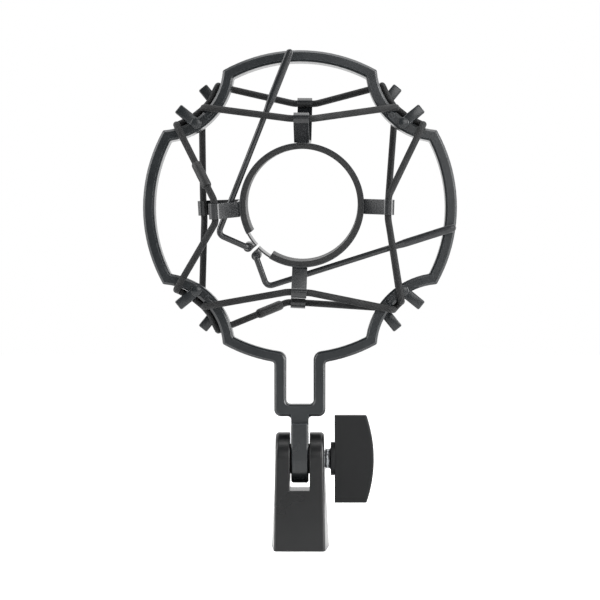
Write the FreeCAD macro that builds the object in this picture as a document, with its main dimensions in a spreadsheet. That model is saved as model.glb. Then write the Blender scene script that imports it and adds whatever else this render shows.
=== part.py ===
import FreeCAD, Part
import math
import os
import Sketcher
from FreeCAD import Placement, Rotation, Vector

# Elastic shock mount for a studio microphone, on a tilting stand adapter.
# Millimetres. The origin is the middle of the threaded socket's mouth, on the foot's underside.
# +X points to the clamp knob, +Y to the rear of the mount, +Z up.

SIZES = [
    ("foot_width", 20.8, "stand adapter, across the foot"),
    ("foot_depth", 20.4, "stand adapter, front to rear at the foot"),
    ("fork_width", 17.2, "stand adapter, across both ears"),
    ("ear_radius", 9.4, "round top of the ears, about the pivot"),
    ("pivot_height", 32.1, "pivot above the foot's underside"),
    ("slot_drop", 10.8, "slot floor below the pivot"),
    ("fork_round", 1.3, "rounding of the adapter's long corners"),
    ("thread_bore", 7.45, "5/8 inch - 27 socket, bore radius inside the thread"),
    ("insert_wall", 1.15, "wall of the threaded insert"),
    ("insert_length", 13.0, "length of the threaded insert"),
    ("screw_radius", 3.0, "clamp screw"),
    ("running_gap", 0.05, "radial clearance of the shafts that turn"),
    ("tongue_width", 6.1, "tongue between the ears"),
    ("tongue_radius", 8.6, "round end of the tongue, about the pivot"),
    ("tongue_rise", 12.6, "top of the tongue above the pivot"),
    ("tongue_chamfer", 0.5, "long edges of the tongue"),
    ("washer_radius", 5.3, "friction washers"),
    ("washer_thick", 0.42, "friction washers"),
    ("washer_gap", 0.05, "between a washer and its ear"),
    ("nut_radius", 5.5, "clamp nut, over its corners"),
    ("nut_thick", 3.0, "clamp nut"),
    ("nut_gap", 0.1, "round the clamp nut in its pocket"),
    ("nut_inset", 0.5, "clamp nut below the ear's outer face"),
    ("spacer_radius", 3.8, "metal spacer between ear and knob"),
    ("spacer_length", 1.9, "metal spacer between ear and knob"),
    ("spacer_gap", 0.4, "between the spacer and the ear"),
    ("collar_radius", 5.9, "collar of the knob"),
    ("collar_thick", 1.4, "collar of the knob"),
    ("paddle_reach", 15.4, "knob paddle, pivot to either end"),
    ("paddle_width", 11.3, "knob paddle, along the screw at its ends"),
    ("paddle_bulge", 2.6, "swell of the paddle's outer edge"),
    ("paddle_thick", 9.0, "knob paddle"),
    ("paddle_round", 0.8, "edges of the knob paddle"),
    ("screw_grip", 7.0, "clamp screw inside the paddle"),
    ("yoke_rise", 15.2, "underside of the yoke above the pivot"),
    ("yoke_wall", 4.2, "bars and floor of the yoke"),
    ("yoke_inside", 9.7, "clear width of the yoke"),
    ("ring_rise", 89.1, "centre of the outer frame above the pivot"),
    ("ring_radius", 55.5, "outer frame, outside"),
    ("ring_band", 4.0, "outer frame, width of its band"),
    ("ring_depth", 10.0, "outer frame, front to rear"),
    ("ring_chamfer", 0.75, "outer frame, front and rear edges"),
    ("notch_distance", 70.3, "centre of each corner notch from the frame's centre"),
    ("notch_radius", 22.5, "corner notch, outside of the band"),
    ("tip_round", 1.0, "corners where a notch meets the ring"),
    ("shoulder_round", 3.0, "inner bend from the ring into the yoke"),
    ("heel_round", 2.4, "outer corners of the yoke"),
    ("window_round", 1.5, "inner corners of the yoke"),
    ("peg_reach", 6.75, "cord pegs beyond the notch's wall"),
    ("peg_sink", 1.4, "cord pegs and their round roots, inside the notch's wall"),
    ("peg_width", 3.3, "cord pegs"),
    ("peg_thick", 3.2, "cord pegs, front to rear"),
    ("peg_proud", 1.0, "cord pegs beyond the frame's face"),
    ("peg_offset", 6.0, "cord pegs off the frame's diagonals, degrees"),
    ("pad_radius", 1.2, "small round pads on the front of the notches"),
    ("pad_proud", 0.35, "small round pads beyond the face"),
    ("clip_side", 0.8, "clip centre right of the frame's centre"),
    ("clip_lift", 1.1, "clip centre above the frame's centre"),
    ("clip_tilt", 3.5, "rear of the clip tips up, degrees"),
    ("clip_radius", 21.9, "clip band, outside"),
    ("clip_steel", 0.55, "sheet of the clip band"),
    ("clip_length", 22.0, "clip band, along its axis"),
    ("liner_thick", 1.65, "liner inside the clip band"),
    ("split_angle", 222.95, "middle of the clip's split, degrees from +X"),
    ("split_open", 30.6, "opening of the liner and the full band, degrees"),
    ("hinge_rise", 2.2, "lever hinges beyond the clip band"),
    ("hinge_spread", 2.1, "lever hinges either side of the split"),
    ("hinge_length", 15.0, "rolled hinges, along the clip's axis"),
    ("hinge_lap", 0.06, "walls under the rolled hinges, into the rolls"),
    ("wire_radius", 1.05, "lever wire"),
    ("lever_plane", 9.5, "levers in front of the clip's middle"),
    ("heel_rise", 6.7, "bend of each lever beyond the clip band, along the split"),
    ("lever_spread", 25.35, "levers off the split's line, degrees"),
    ("lever_gap", 0.72, "between a lever and the clip band"),
    ("lever_arm", 69.7, "long arm of each lever"),
    ("lever_bend", 1.9, "bend of the lever wire at its hinge, centre line"),
    ("heel_bend", 2.6, "bend of the lever wire at its heel, centre line"),
    ("lever_tail", 0.8, "lever wire beyond the rear of its hinge"),
    ("strap_width", 5.3, "ear straps"),
    ("strap_skew", -1.1, "ear straps turned about their own radius, degrees"),
    ("strap_thick", 0.8, "ear straps"),
    ("strap_bend", 1.4, "bend where a strap leaves the band, centre line"),
    ("strap_reach", 12.0, "where a strap bends away, from the clip's middle"),
    ("front_hook", 30.2, "cord in the front hooks, from the clip's axis"),
    ("front_hook_ahead", 18.5, "cord in the front hooks, ahead of the clip's middle"),
    ("rear_hook", 36.0, "cord in the rear hooks, from the clip's axis"),
    ("rear_hook_behind", 17.0, "cord in the rear hooks, behind the clip's middle"),
    ("bent_hook", 31.0, "cord in the right ear's rear hook, from the clip's axis"),
    ("bent_hook_behind", 24.0, "cord in the right ear's rear hook, behind the clip's middle"),
    ("hook_turn", 215.0, "how far a hook curls round its cord, degrees"),
    ("rivet_radius", 0.8, "rivet shanks"),
    ("rivet_head", 1.5, "rivet heads, radius"),
    ("rivet_rise", 0.5, "rivet heads, height"),
    ("rivet_pitch", 4.0, "rivets either side of the clip's middle"),
    ("cord_radius", 1.2, "elastic cords"),
    ("cord_slack", 0.15, "between a cord and what it lies on"),
    ("hook_slack", 0.1, "between a cord and its hook"),
    ("near_crossing", 1.0, "cord over the frame beside a peg, off the diagonal, degrees"),
    ("far_crossing", 11.2, "cord over the frame beyond a peg, off the diagonal, degrees"),
    ("hook_bend", 5.0, "cord bends beside the hooks"),
    ("hook_spread", 14.0, "half of the cord's turn beside a hook, degrees"),
    ("edge_bend", 2.5, "cord bends over the frame's edge"),
    ("peg_bend", 2.1, "cord bends behind the pegs"),
    ("sleeve_radius", 1.75, "splice sleeves"),
    ("sleeve_length", 10.0, "splice sleeves"),
    ("sleeve_slack", 0.03, "between a sleeve and its cord"),
    ("splice_gap", 0.2, "between the cord's ends inside a sleeve"),
    ("front_splice", 0.33, "front sleeve, share of the way from hook to frame"),
    ("rear_splice", 0.26, "rear sleeve, share of the way from hook to frame"),
]

DIAGONALS = [45, 135, 225, 315]
EARS = {"left": 183.1, "top": 89.4, "right": 358.3, "bottom": 267.6}

# where a cord goes over the frame: loop, corner, before or after the peg, degrees off the diagonal
CROSSINGS = {
    ("rear", 45, 1): -1.2,
    ("rear", 315, 0): 2.0,
    ("rear", 315, 1): 2.1,
    ("front", 315, 0): 2.1,
    ("front", 315, 1): 2.6,
}

doc = FreeCAD.newDocument("shock_mount")
sheet = doc.addObject("Spreadsheet::Sheet", "sizes")
for row, (alias, number, note) in enumerate(SIZES, start=1):
    sheet.set("A%d" % row, note)
    sheet.set("B%d" % row, str(number))
    sheet.setAlias("B%d" % row, alias)
doc.recompute()

X_AXIS, Y_AXIS = Vector(1, 0, 0), Vector(0, 1, 0)
ALONG_X = Rotation(Y_AXIS, 90)
ALONG_Y = Rotation(X_AXIS, -90)
PARTS = []


def size(alias):
    return float(sheet.get(alias))


def swing(degrees):
    """Turn about Y that lifts +X towards +Z."""
    return Rotation(-Y_AXIS, degrees)


def primitive(kind, name, place, **bound):
    """A Part primitive whose properties follow the sheet's cells."""
    item = doc.addObject("Part::" + kind, name)
    for prop, formula in bound.items():
        item.setExpression(prop, formula)
    item.Placement = place
    return item


def joined(name, pieces):
    item = doc.addObject("Part::MultiFuse", name)
    item.Shapes = pieces
    item.Refine = True
    return item


def cut(name, base, tool):
    item = doc.addObject("Part::Cut", name)
    item.Base = base
    item.Tool = tool
    return item


def shared(name, first, second):
    item = doc.addObject("Part::Common", name)
    item.Base = first
    item.Tool = second
    return item


def eased(kind, name, base, pick):
    """Part::Fillet or Part::Chamfer of the edges that pick gives a size to."""
    doc.recompute()
    item = doc.addObject("Part::" + kind, name)
    item.Base = base
    chosen = []
    for number, edge in enumerate(base.Shape.Edges, start=1):
        amount = pick(edge)
        if amount:
            chosen.append((number, amount, amount))
    item.Edges = chosen
    return item


def keep(item, node):
    item.Label = node
    PARTS.append(item)
    return item


def shaped(node, shape, place=Placement()):
    """A piece whose shape is a sweep, which no primitive gives."""
    item = doc.addObject("Part::Feature", node + "_piece")
    item.Shape = shape
    item.Placement = place
    return keep(item, node)


def round_body(node, plane, radius, length, bore=None):
    """A padded disc or tube on one of its body's own planes."""
    body = doc.addObject("PartDesign::Body", node + "_body")
    sketch = body.newObject("Sketcher::SketchObject", node + "_outline")
    support = next(item for item in body.Origin.OriginFeatures if item.Role == plane)
    sketch.AttachmentSupport = (support, [""])
    sketch.MapMode = "FlatFace"
    circles = [("outside", radius)] if bore is None else [("outside", radius), ("bore", bore)]
    for name, formula in circles:
        index = sketch.addGeometry(Part.Circle(Vector(), Vector(0, 0, 1), 1), False)
        sketch.addConstraint(Sketcher.Constraint("Coincident", index, 3, -1, 1))
        number = sketch.addConstraint(Sketcher.Constraint("Radius", index, 1))
        sketch.renameConstraint(number, name)
        sketch.setExpression("Constraints." + name, formula)
    pad = body.newObject("PartDesign::Pad", node + "_pad")
    pad.Profile = sketch
    pad.setExpression("Length", length)
    return keep(body, node)


# places

pivot = Vector(0, 0, size("pivot_height"))
ring_centre = pivot + Vector(0, 0, size("ring_rise"))
clip_place = Placement(ring_centre + Vector(size("clip_side"), 0, size("clip_lift")),
                       Rotation(X_AXIS, size("clip_tilt")))
half_slot = size("tongue_width") / 2 + size("washer_thick") + size("washer_gap")
half_fork = size("fork_width") / 2
HALF_SLOT = "sizes.tongue_width / 2 + sizes.washer_thick + sizes.washer_gap"


def around_pivot(x, y=0, z=0, rotation=Rotation()):
    return Placement(pivot + Vector(x, y, z), rotation)


def notch_wall(offset, clear=0):
    """Distance from the frame's centre, off the diagonal by offset, of a line clear of a notch's wall."""
    away, radius = size("notch_distance"), size("notch_radius") - clear
    angle = math.radians(offset)
    return away * math.cos(angle) - math.sqrt(radius ** 2 - (away * math.sin(angle)) ** 2)


# stand adapter

def stand_adapter():
    width, depth, fork = size("foot_width") / 2, size("foot_depth") / 2, half_fork
    block = doc.addObject("Part::Wedge", "adapter_block")
    for prop, formula in {
        "Xmin": "-sizes.foot_width / 2", "Xmax": "sizes.foot_width / 2",
        "X2min": "-sizes.fork_width / 2", "X2max": "sizes.fork_width / 2",
        "Zmin": "-sizes.foot_depth / 2", "Zmax": "sizes.foot_depth / 2",
        "Z2min": "-sizes.ear_radius", "Z2max": "sizes.ear_radius",
        "Ymin": "0", "Ymax": "sizes.pivot_height",
    }.items():
        block.setExpression(prop, formula)
    block.Placement = Placement(Vector(), Rotation(X_AXIS, 90))
    crown = primitive("Cylinder", "adapter_crown", around_pivot(-fork, rotation=ALONG_X),
                      Radius="sizes.ear_radius", Height="sizes.fork_width")
    whole = joined("adapter_whole", [block, crown])

    def long_corner(edge):
        middle = edge.valueAt((edge.FirstParameter + edge.LastParameter) / 2)
        ends = [vertex.Point for vertex in edge.Vertexes]
        on_side = all(abs(point.x) > fork - 0.01 for point in ends + [middle])
        off_foot = max(point.z for point in ends + [middle]) > size("pivot_height") / 2
        in_fork = abs(ends[0].z - ends[-1].z) < 0.01 and middle.z < pivot.z + 0.01
        return size("fork_round") if on_side and off_foot and not in_fork else 0

    body = eased("Fillet", "adapter_rounded", whole, long_corner)
    slot = primitive("Box", "adapter_slot",
                     around_pivot(-half_slot, -max(width, depth) * 2, -size("slot_drop")),
                     Length="2 * (%s)" % HALF_SLOT,
                     Width="4 * max(sizes.foot_width; sizes.foot_depth) / 2",
                     Height="sizes.slot_drop + 2 * sizes.ear_radius")
    socket = primitive("Cylinder", "adapter_socket", Placement(),
                       Radius="sizes.thread_bore + sizes.insert_wall", Height="sizes.insert_length")
    bore = primitive("Cylinder", "adapter_bore", around_pivot(-2 * width, rotation=ALONG_X),
                     Radius="sizes.screw_radius + sizes.running_gap", Height="2 * sizes.foot_width")
    pocket = primitive("Prism", "adapter_nut_pocket",
                       around_pivot(-2 * width, rotation=ALONG_X),
                       Circumradius="sizes.nut_radius + sizes.nut_gap",
                       Height="sizes.foot_width - sizes.fork_width / 2"
                              " + sizes.nut_inset + sizes.nut_thick + sizes.nut_gap")
    pocket.Polygon = 6
    keep(cut("adapter", body, joined("adapter_hollows", [slot, socket, bore, pocket])),
         "stand_adapter")


def clamp_nut():
    inner = -half_fork + size("nut_inset")
    hexagon = primitive("Prism", "nut_hexagon", around_pivot(inner, rotation=ALONG_X),
                        Circumradius="sizes.nut_radius", Height="sizes.nut_thick")
    hexagon.Polygon = 6
    bore = primitive("Cylinder", "nut_bore", around_pivot(inner, rotation=ALONG_X),
                     Radius="sizes.screw_radius + sizes.running_gap", Height="sizes.nut_thick")
    keep(cut("nut", hexagon, bore), "clamp_nut")


stand_adapter()
round_body("threaded_insert", "XY_Plane", "sizes.thread_bore + sizes.insert_wall",
           "sizes.insert_length", "sizes.thread_bore")
clamp_nut()

# clamp knob

spacer_start = half_fork + size("spacer_gap")
collar_start = spacer_start + size("spacer_length")
paddle_start = collar_start + size("collar_thick")

spacer = round_body("knob_spacer", "YZ_Plane", "sizes.spacer_radius", "sizes.spacer_length",
                    "sizes.screw_radius")
spacer.Placement = around_pivot(spacer_start)
collar = round_body("knob_collar", "YZ_Plane", "sizes.collar_radius", "sizes.collar_thick",
                    "sizes.screw_radius")
collar.Placement = around_pivot(collar_start)
screw = round_body("clamp_screw", "YZ_Plane", "sizes.screw_radius",
                   "sizes.fork_width - sizes.nut_inset + sizes.spacer_gap + sizes.spacer_length"
                   " + sizes.collar_thick + sizes.screw_grip")
screw.Placement = around_pivot(size("nut_inset") - half_fork)


def knob():
    reach, bulge = size("paddle_reach"), size("paddle_bulge")
    sweep = (reach ** 2 + bulge ** 2) / (2 * bulge)
    outer = paddle_start + size("paddle_width") + bulge
    slab = primitive("Box", "paddle_slab",
                     around_pivot(paddle_start, -size("paddle_thick") / 2, -reach),
                     Length="sizes.paddle_width + sizes.paddle_bulge",
                     Width="sizes.paddle_thick", Height="2 * sizes.paddle_reach")
    face = primitive("Cylinder", "paddle_face",
                     around_pivot(outer - sweep, -size("paddle_thick") / 2, 0, ALONG_Y),
                     Radius="(sizes.paddle_reach ^ 2 + sizes.paddle_bulge ^ 2) / (2 * sizes.paddle_bulge)",
                     Height="sizes.paddle_thick")
    blank = shared("paddle_blank", slab, face)

    def outer_edge(edge):
        low, high = edge.BoundBox.XMin, edge.BoundBox.XMax
        return size("paddle_round") if high > paddle_start + 0.01 and high - low < size("paddle_width") + 1 \
            else 0

    rounded = eased("Fillet", "paddle_rounded", blank, outer_edge)
    grip = primitive("Cylinder", "paddle_bore", around_pivot(paddle_start, rotation=ALONG_X),
                     Radius="sizes.screw_radius", Height="sizes.screw_grip")
    keep(cut("paddle", rounded, grip), "knob")


knob()

# outer frame

def notched_disc(name, radius, notch):
    """A disc about the frame's centre with the four corner notches cut from it."""
    front = -size("ring_depth") / 2
    disc = primitive("Cylinder", name + "_disc",
                     Placement(ring_centre + Vector(0, front, 0), swing(DIAGONALS[0]) * ALONG_Y),
                     Radius=radius, Height="sizes.ring_depth")
    notches = []
    for diagonal in DIAGONALS:
        turn = swing(diagonal)
        centre = ring_centre + turn.multVec(Vector(size("notch_distance"), front, 0))
        notches.append(primitive("Cylinder", "%s_notch_%d" % (name, diagonal),
                                 Placement(centre, turn * ALONG_Y),
                                 Radius=notch, Height="sizes.ring_depth"))
    return cut(name, disc, joined(name + "_notches", notches))


def ring_band():
    front = -size("ring_depth") / 2
    yoke_half = size("yoke_inside") / 2 + size("yoke_wall")
    floor = size("yoke_rise") + size("yoke_wall")
    outside = notched_disc("outside", "sizes.ring_radius", "sizes.notch_radius")
    inside = notched_disc("inside", "sizes.ring_radius - sizes.ring_band",
                          "sizes.notch_radius + sizes.ring_band")
    yoke = primitive("Box", "yoke_outside", around_pivot(-yoke_half, front, size("yoke_rise")),
                     Length="sizes.yoke_inside + 2 * sizes.yoke_wall", Width="sizes.ring_depth",
                     Height="sizes.ring_rise - sizes.yoke_rise - sizes.ring_radius / 2")
    window = primitive("Box", "yoke_window",
                       around_pivot(-size("yoke_inside") / 2, front, floor),
                       Length="sizes.yoke_inside", Width="sizes.ring_depth",
                       Height="sizes.ring_rise - sizes.yoke_rise - sizes.yoke_wall"
                              " - sizes.ring_radius / 2")
    band = cut("band", joined("band_outside", [outside, yoke]), joined("band_inside", [inside, window]))

    def corner(edge):
        box = edge.BoundBox
        if box.XLength > 0.01 or box.ZLength > 0.01:
            return 0
        across, height = abs(box.XMin), box.ZMin - pivot.z
        if across > yoke_half + 0.5:
            return size("tip_round")
        if across > yoke_half - 0.1:
            return size("heel_round") if height < floor else size("tip_round")
        return size("window_round") if height < floor + 0.1 else size("shoulder_round")

    def face_edge(edge):
        return size("ring_chamfer") if edge.BoundBox.YLength < 0.01 else 0

    rounded = eased("Fillet", "band_rounded", band, corner)
    return eased("Chamfer", "band_chamfered", rounded, face_edge)


def peg_pieces():
    """Front pegs lean towards the sides, rear pegs towards the top and bottom."""
    pieces = []
    half_depth = size("ring_depth") / 2 + size("peg_proud")
    for diagonal in DIAGONALS:
        to_side = 1 if diagonal in (135, 315) else -1
        for name, lean, start in (("front", to_side, -half_depth),
                                  ("rear", -to_side, half_depth - size("peg_thick"))):
            turn = swing(diagonal + lean * size("peg_offset"))
            root = notch_wall(size("peg_offset")) - size("peg_sink")
            corner = turn.multVec(Vector(root, start, -size("peg_width") / 2))
            centre = turn.multVec(Vector(root, start, 0))
            pieces.append(primitive("Box", "%s_peg_%d" % (name, diagonal),
                                    Placement(ring_centre + corner, turn),
                                    Length="sizes.peg_reach + sizes.peg_sink",
                                    Width="sizes.peg_thick", Height="sizes.peg_width"))
            pieces.append(primitive("Cylinder", "%s_boss_%d" % (name, diagonal),
                                    Placement(ring_centre + centre, turn * ALONG_Y),
                                    Radius="sizes.peg_width / 2", Height="sizes.peg_thick"))
        turn = swing(diagonal)
        reach = size("notch_distance") - size("notch_radius") - size("ring_band") / 2
        middle = turn.multVec(Vector(reach, -size("ring_depth") / 2 - size("pad_proud"), 0))
        pieces.append(primitive("Cylinder", "pad_%d" % diagonal,
                                Placement(ring_centre + middle, turn * ALONG_Y),
                                Radius="sizes.pad_radius",
                                Height="sizes.pad_proud + sizes.ring_chamfer"))
    return pieces


def tongue():
    half = size("tongue_width") / 2
    end = primitive("Cylinder", "tongue_end", around_pivot(-half, rotation=ALONG_X),
                    Radius="sizes.tongue_radius", Height="sizes.tongue_width")
    plate = primitive("Box", "tongue_plate", around_pivot(-half, -size("tongue_radius"), 0),
                      Length="sizes.tongue_width", Width="2 * sizes.tongue_radius",
                      Height="sizes.tongue_rise")

    def side_edge(edge):
        return size("tongue_chamfer") if edge.BoundBox.XLength < 0.01 else 0

    return eased("Chamfer", "tongue_chamfered", joined("tongue_blank", [end, plate]), side_edge)


def outer_frame():
    neck = primitive("Box", "neck",
                     around_pivot(-size("tongue_width") / 2, -size("ring_depth") / 2, 0),
                     Length="sizes.tongue_width", Width="sizes.ring_depth",
                     Height="sizes.yoke_rise + sizes.yoke_wall / 2")
    bore = primitive("Cylinder", "tongue_bore", around_pivot(-size("tongue_width"), rotation=ALONG_X),
                     Radius="sizes.screw_radius + sizes.running_gap",
                     Height="2 * sizes.tongue_width")
    solid = joined("frame_solid", [ring_band(), tongue(), neck] + peg_pieces())
    keep(cut("frame", solid, bore), "outer_frame")


outer_frame()

for side, start in (("left", -size("tongue_width") / 2 - size("washer_thick")),
                    ("right", size("tongue_width") / 2)):
    washer = round_body("washer_" + side, "YZ_Plane", "sizes.washer_radius", "sizes.washer_thick",
                        "sizes.screw_radius + sizes.running_gap")
    washer.Placement = around_pivot(start)

# spring clip

def sector(name, radius, length, angle, first):
    """A pie slice about the clip's axis, from the angle first, anticlockwise seen from the front."""
    item = primitive("Cylinder", name, Placement(), Radius=radius, Height=length, Angle=angle)
    doc.recompute()
    turn = swing(first) * Rotation(X_AXIS, 90)
    item.Placement = Placement(Vector(0, float(item.Height) / 2, 0), turn)
    return item


split_half = size("split_open") / 2
long_way = "360 - sizes.split_open"


def ear_turn(angle):
    return swing(angle) * Rotation(X_AXIS, size("strap_skew"))


def rivet_spots():
    for angle in EARS.values():
        for along in (-size("rivet_pitch"), size("rivet_pitch")):
            yield angle, along


def radial_rod(name, angle, along, start, radius, length):
    turn = ear_turn(angle)
    return primitive("Cylinder", name,
                     Placement(turn.multVec(Vector(start, along, 0)), turn * ALONG_X),
                     Radius=radius, Height=length)


def clip_band():
    inner = size("clip_radius") - size("clip_steel")
    core = primitive("Cylinder", "band_core",
                     Placement(Vector(0, -size("clip_length"), 0), ALONG_Y),
                     Radius="sizes.clip_radius - sizes.clip_steel", Height="2 * sizes.clip_length")
    pieces = [sector("band_sheet", "sizes.clip_radius", "sizes.clip_length", long_way,
                     size("split_angle") + split_half)]
    wall_side = size("hinge_spread") - size("wire_radius") - size("running_gap") - size("clip_steel")
    lip = math.degrees(wall_side / inner)
    for side in (-1, 1):
        first = size("split_angle") - split_half if side < 0 else size("split_angle") + lip
        tongue_sheet = sector("band_tongue_%d" % (side + 1), "sizes.clip_radius",
                              "sizes.hinge_length", "1", first)
        tongue_sheet.setExpression("Angle", None)
        tongue_sheet.Angle = split_half - lip
        pieces.append(tongue_sheet)
    sheet_metal = cut("band_rolled", joined("band_sheets", pieces), core)
    rolls, bores = [], []
    turn = swing(size("split_angle"))
    for side in (-1, 1):
        near = wall_side + size("hinge_lap")
        near = near if side > 0 else -near - size("clip_steel")
        corner = turn.multVec(Vector(inner + size("clip_steel") / 2, -size("hinge_length") / 2, near))
        rolls.append(primitive("Box", "band_wall_%d" % (side + 1), Placement(corner, turn),
                               Length="sizes.hinge_rise + sizes.clip_steel / 2",
                               Width="sizes.hinge_length", Height="sizes.clip_steel"))
        centre = turn.multVec(Vector(size("clip_radius") + size("hinge_rise"),
                                     -size("hinge_length") / 2, side * size("hinge_spread")))
        rolls.append(primitive("Cylinder", "band_roll_%d" % (side + 1), Placement(centre, ALONG_Y),
                               Radius="sizes.wire_radius + sizes.running_gap + sizes.clip_steel",
                               Height="sizes.hinge_length"))
        bores.append(primitive("Cylinder", "band_hinge_%d" % (side + 1), Placement(centre, ALONG_Y),
                               Radius="sizes.wire_radius + sizes.running_gap",
                               Height="sizes.hinge_length"))
    for number, (angle, along) in enumerate(rivet_spots()):
        bores.append(radial_rod("band_hole_%d" % number, angle, along, size("clip_radius") * 0.9,
                                "sizes.rivet_radius", "sizes.clip_radius * 0.2"))
    band = cut("clip_steel_band", joined("band_whole", [sheet_metal, joined("band_rolls", rolls)]),
               joined("band_holes", bores))
    band.Placement = clip_place
    keep(band, "clip_band")


def clip_liner():
    whole = sector("liner_whole", "sizes.clip_radius - sizes.clip_steel", "sizes.clip_length",
                   long_way, size("split_angle") + split_half)
    core = primitive("Cylinder", "liner_core",
                     Placement(Vector(0, -size("clip_length"), 0), ALONG_Y),
                     Radius="sizes.clip_radius - sizes.clip_steel - sizes.liner_thick",
                     Height="2 * sizes.clip_length")
    liner = cut("liner", whole, core)
    liner.Placement = clip_place
    keep(liner, "clip_liner")


clip_band()
clip_liner()

# routes and sweeps

def corner_arc(before, point, after, radius):
    """The arc of a radius that rounds a route's corner, with its two tangent points."""
    back = (before - point).normalize()
    ahead = (after - point).normalize()
    half = back.getAngle(ahead) / 2
    inward = (back + ahead).normalize()
    centre = point + inward * (radius / math.sin(half))
    start = point + back * (radius / math.tan(half))
    end = point + ahead * (radius / math.tan(half))
    return start, Part.Arc(start, centre - inward * radius, end).toShape(), end


def route(points, radii):
    """Straight runs joined by tangent arcs; radii belong to the points between the two ends."""
    edges, last = [], points[0]
    for before, point, after, radius in zip(points, points[1:], points[2:], radii):
        start, arc, end = corner_arc(before, point, after, radius)
        edges += [Part.LineSegment(last, start).toShape(), arc]
        last = end
    edges.append(Part.LineSegment(last, points[-1]).toShape())
    return Part.Wire(edges)


def swept(wire, section):
    return wire.makePipeShell([section], True, False)


def tube(wire, radius):
    first = wire.Edges[0]
    start, ahead = first.valueAt(first.FirstParameter), first.tangentAt(first.FirstParameter)
    return swept(wire, Part.Wire([Part.Circle(start, ahead, radius).toShape()]))


# ear straps

ENDS = {"front": -1, "rear": 1}


def hook_centre(ear, end):
    if (ear, end) == ("right", "rear"):
        return Vector(size("bent_hook"), size("bent_hook_behind"), 0)
    along = "front_hook_ahead" if end == "front" else "rear_hook_behind"
    return Vector(size(end + "_hook"), ENDS[end] * size(along), 0)


def strap_edges(ear, end):
    """Half of a strap's centre line: from the band's middle, off the band and round the cord."""
    sign = ENDS[end]
    centre = hook_centre(ear, end)
    curl = size("cord_radius") + size("hook_slack") + size("strap_thick") / 2
    root = size("clip_radius") + size("strap_thick") / 2
    leave = Vector(root, sign * size("strap_reach"), 0)
    span = centre - leave
    heading = math.atan2(sign * span.y, span.x) + math.asin(curl / span.Length)
    contact = heading - math.pi / 2 + math.pi

    def on_hook(angle):
        return centre + Vector(curl * math.cos(angle), sign * curl * math.sin(angle), 0)

    touch = on_hook(contact)
    turned = math.radians(size("hook_turn"))
    start, bend, tangent = corner_arc(Vector(root, 0, 0), leave, touch, size("strap_bend"))
    curl_arc = Part.Arc(touch, on_hook(contact - turned / 2), on_hook(contact - turned)).toShape()
    return [Part.LineSegment(Vector(root, 0, 0), start).toShape(), bend,
            Part.LineSegment(tangent, touch).toShape(), curl_arc]


def strap(name, angle):
    width, thick = size("strap_width"), size("strap_thick")
    root = size("clip_radius") + thick / 2
    halves = []
    for end in ENDS:
        corners = [Vector(root + a * thick / 2, 0, b * width / 2)
                   for a, b in ((-1, -1), (1, -1), (1, 1), (-1, 1))]
        halves.append(swept(Part.Wire(strap_edges(name, end)),
                            Part.makePolygon(corners + corners[:1])))
    shape = halves[0].fuse(halves[1]).removeSplitter()
    for along in (-size("rivet_pitch"), size("rivet_pitch")):
        hole = Part.makeCylinder(size("rivet_radius"), 2 * thick, Vector(root - thick, along, 0), X_AXIS)
        shape = shape.cut(hole)
    shaped("strap_" + name, shape, clip_place * Placement(Vector(), ear_turn(angle)))


for name, angle in EARS.items():
    strap(name, angle)


def strap_rivets():
    pieces = []
    inner = size("clip_radius") - size("clip_steel")
    outer = size("clip_radius") + size("strap_thick")
    for number, (angle, along) in enumerate(rivet_spots()):
        shank = radial_rod("rivet_shank_%d" % number, angle, along, inner, "sizes.rivet_radius",
                           "sizes.clip_steel + sizes.strap_thick + sizes.rivet_rise")
        head = radial_rod("rivet_head_%d" % number, angle, along, outer, "sizes.rivet_head",
                          "sizes.rivet_rise")
        pieces.append(joined("rivet_%d" % number, [shank, head]))
    group = doc.addObject("Part::Compound", "rivets")
    group.Links = pieces
    group.Placement = clip_place
    keep(group, "strap_rivets")


strap_rivets()

# levers

def lever(name, side):
    """One bent wire: through its hinge, round the heel and along the band to its tip."""
    spread = math.radians(size("lever_spread"))
    stand = size("clip_radius") + size("lever_gap") + size("wire_radius")
    heel = size("clip_radius") + size("heel_rise")
    hinge = size("clip_radius") + size("hinge_rise")
    heel_side = (stand - heel * math.sin(spread)) / math.cos(spread)
    plane = -size("lever_plane")
    tail = size("hinge_length") / 2 + size("lever_tail")
    arm = size("lever_arm")
    turn = swing(size("split_angle"))
    local = [
        Vector(hinge, tail, side * size("hinge_spread")),
        Vector(hinge, plane, side * size("hinge_spread")),
        Vector(heel, plane, side * heel_side),
        Vector(heel - arm * math.cos(spread), plane, side * (heel_side + arm * math.sin(spread))),
    ]
    wire = route([turn.multVec(point) for point in local], [size("lever_bend"), size("heel_bend")])
    shaped(name, tube(wire, size("wire_radius")), clip_place)


lever("lever_upper", -1)
lever("lever_lower", 1)

# elastic cords

def frame_point(angle, offset, y):
    out = notch_wall(offset, size("cord_radius") + size("cord_slack"))
    return ring_centre + swing(angle).multVec(Vector(out, y, 0))


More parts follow.
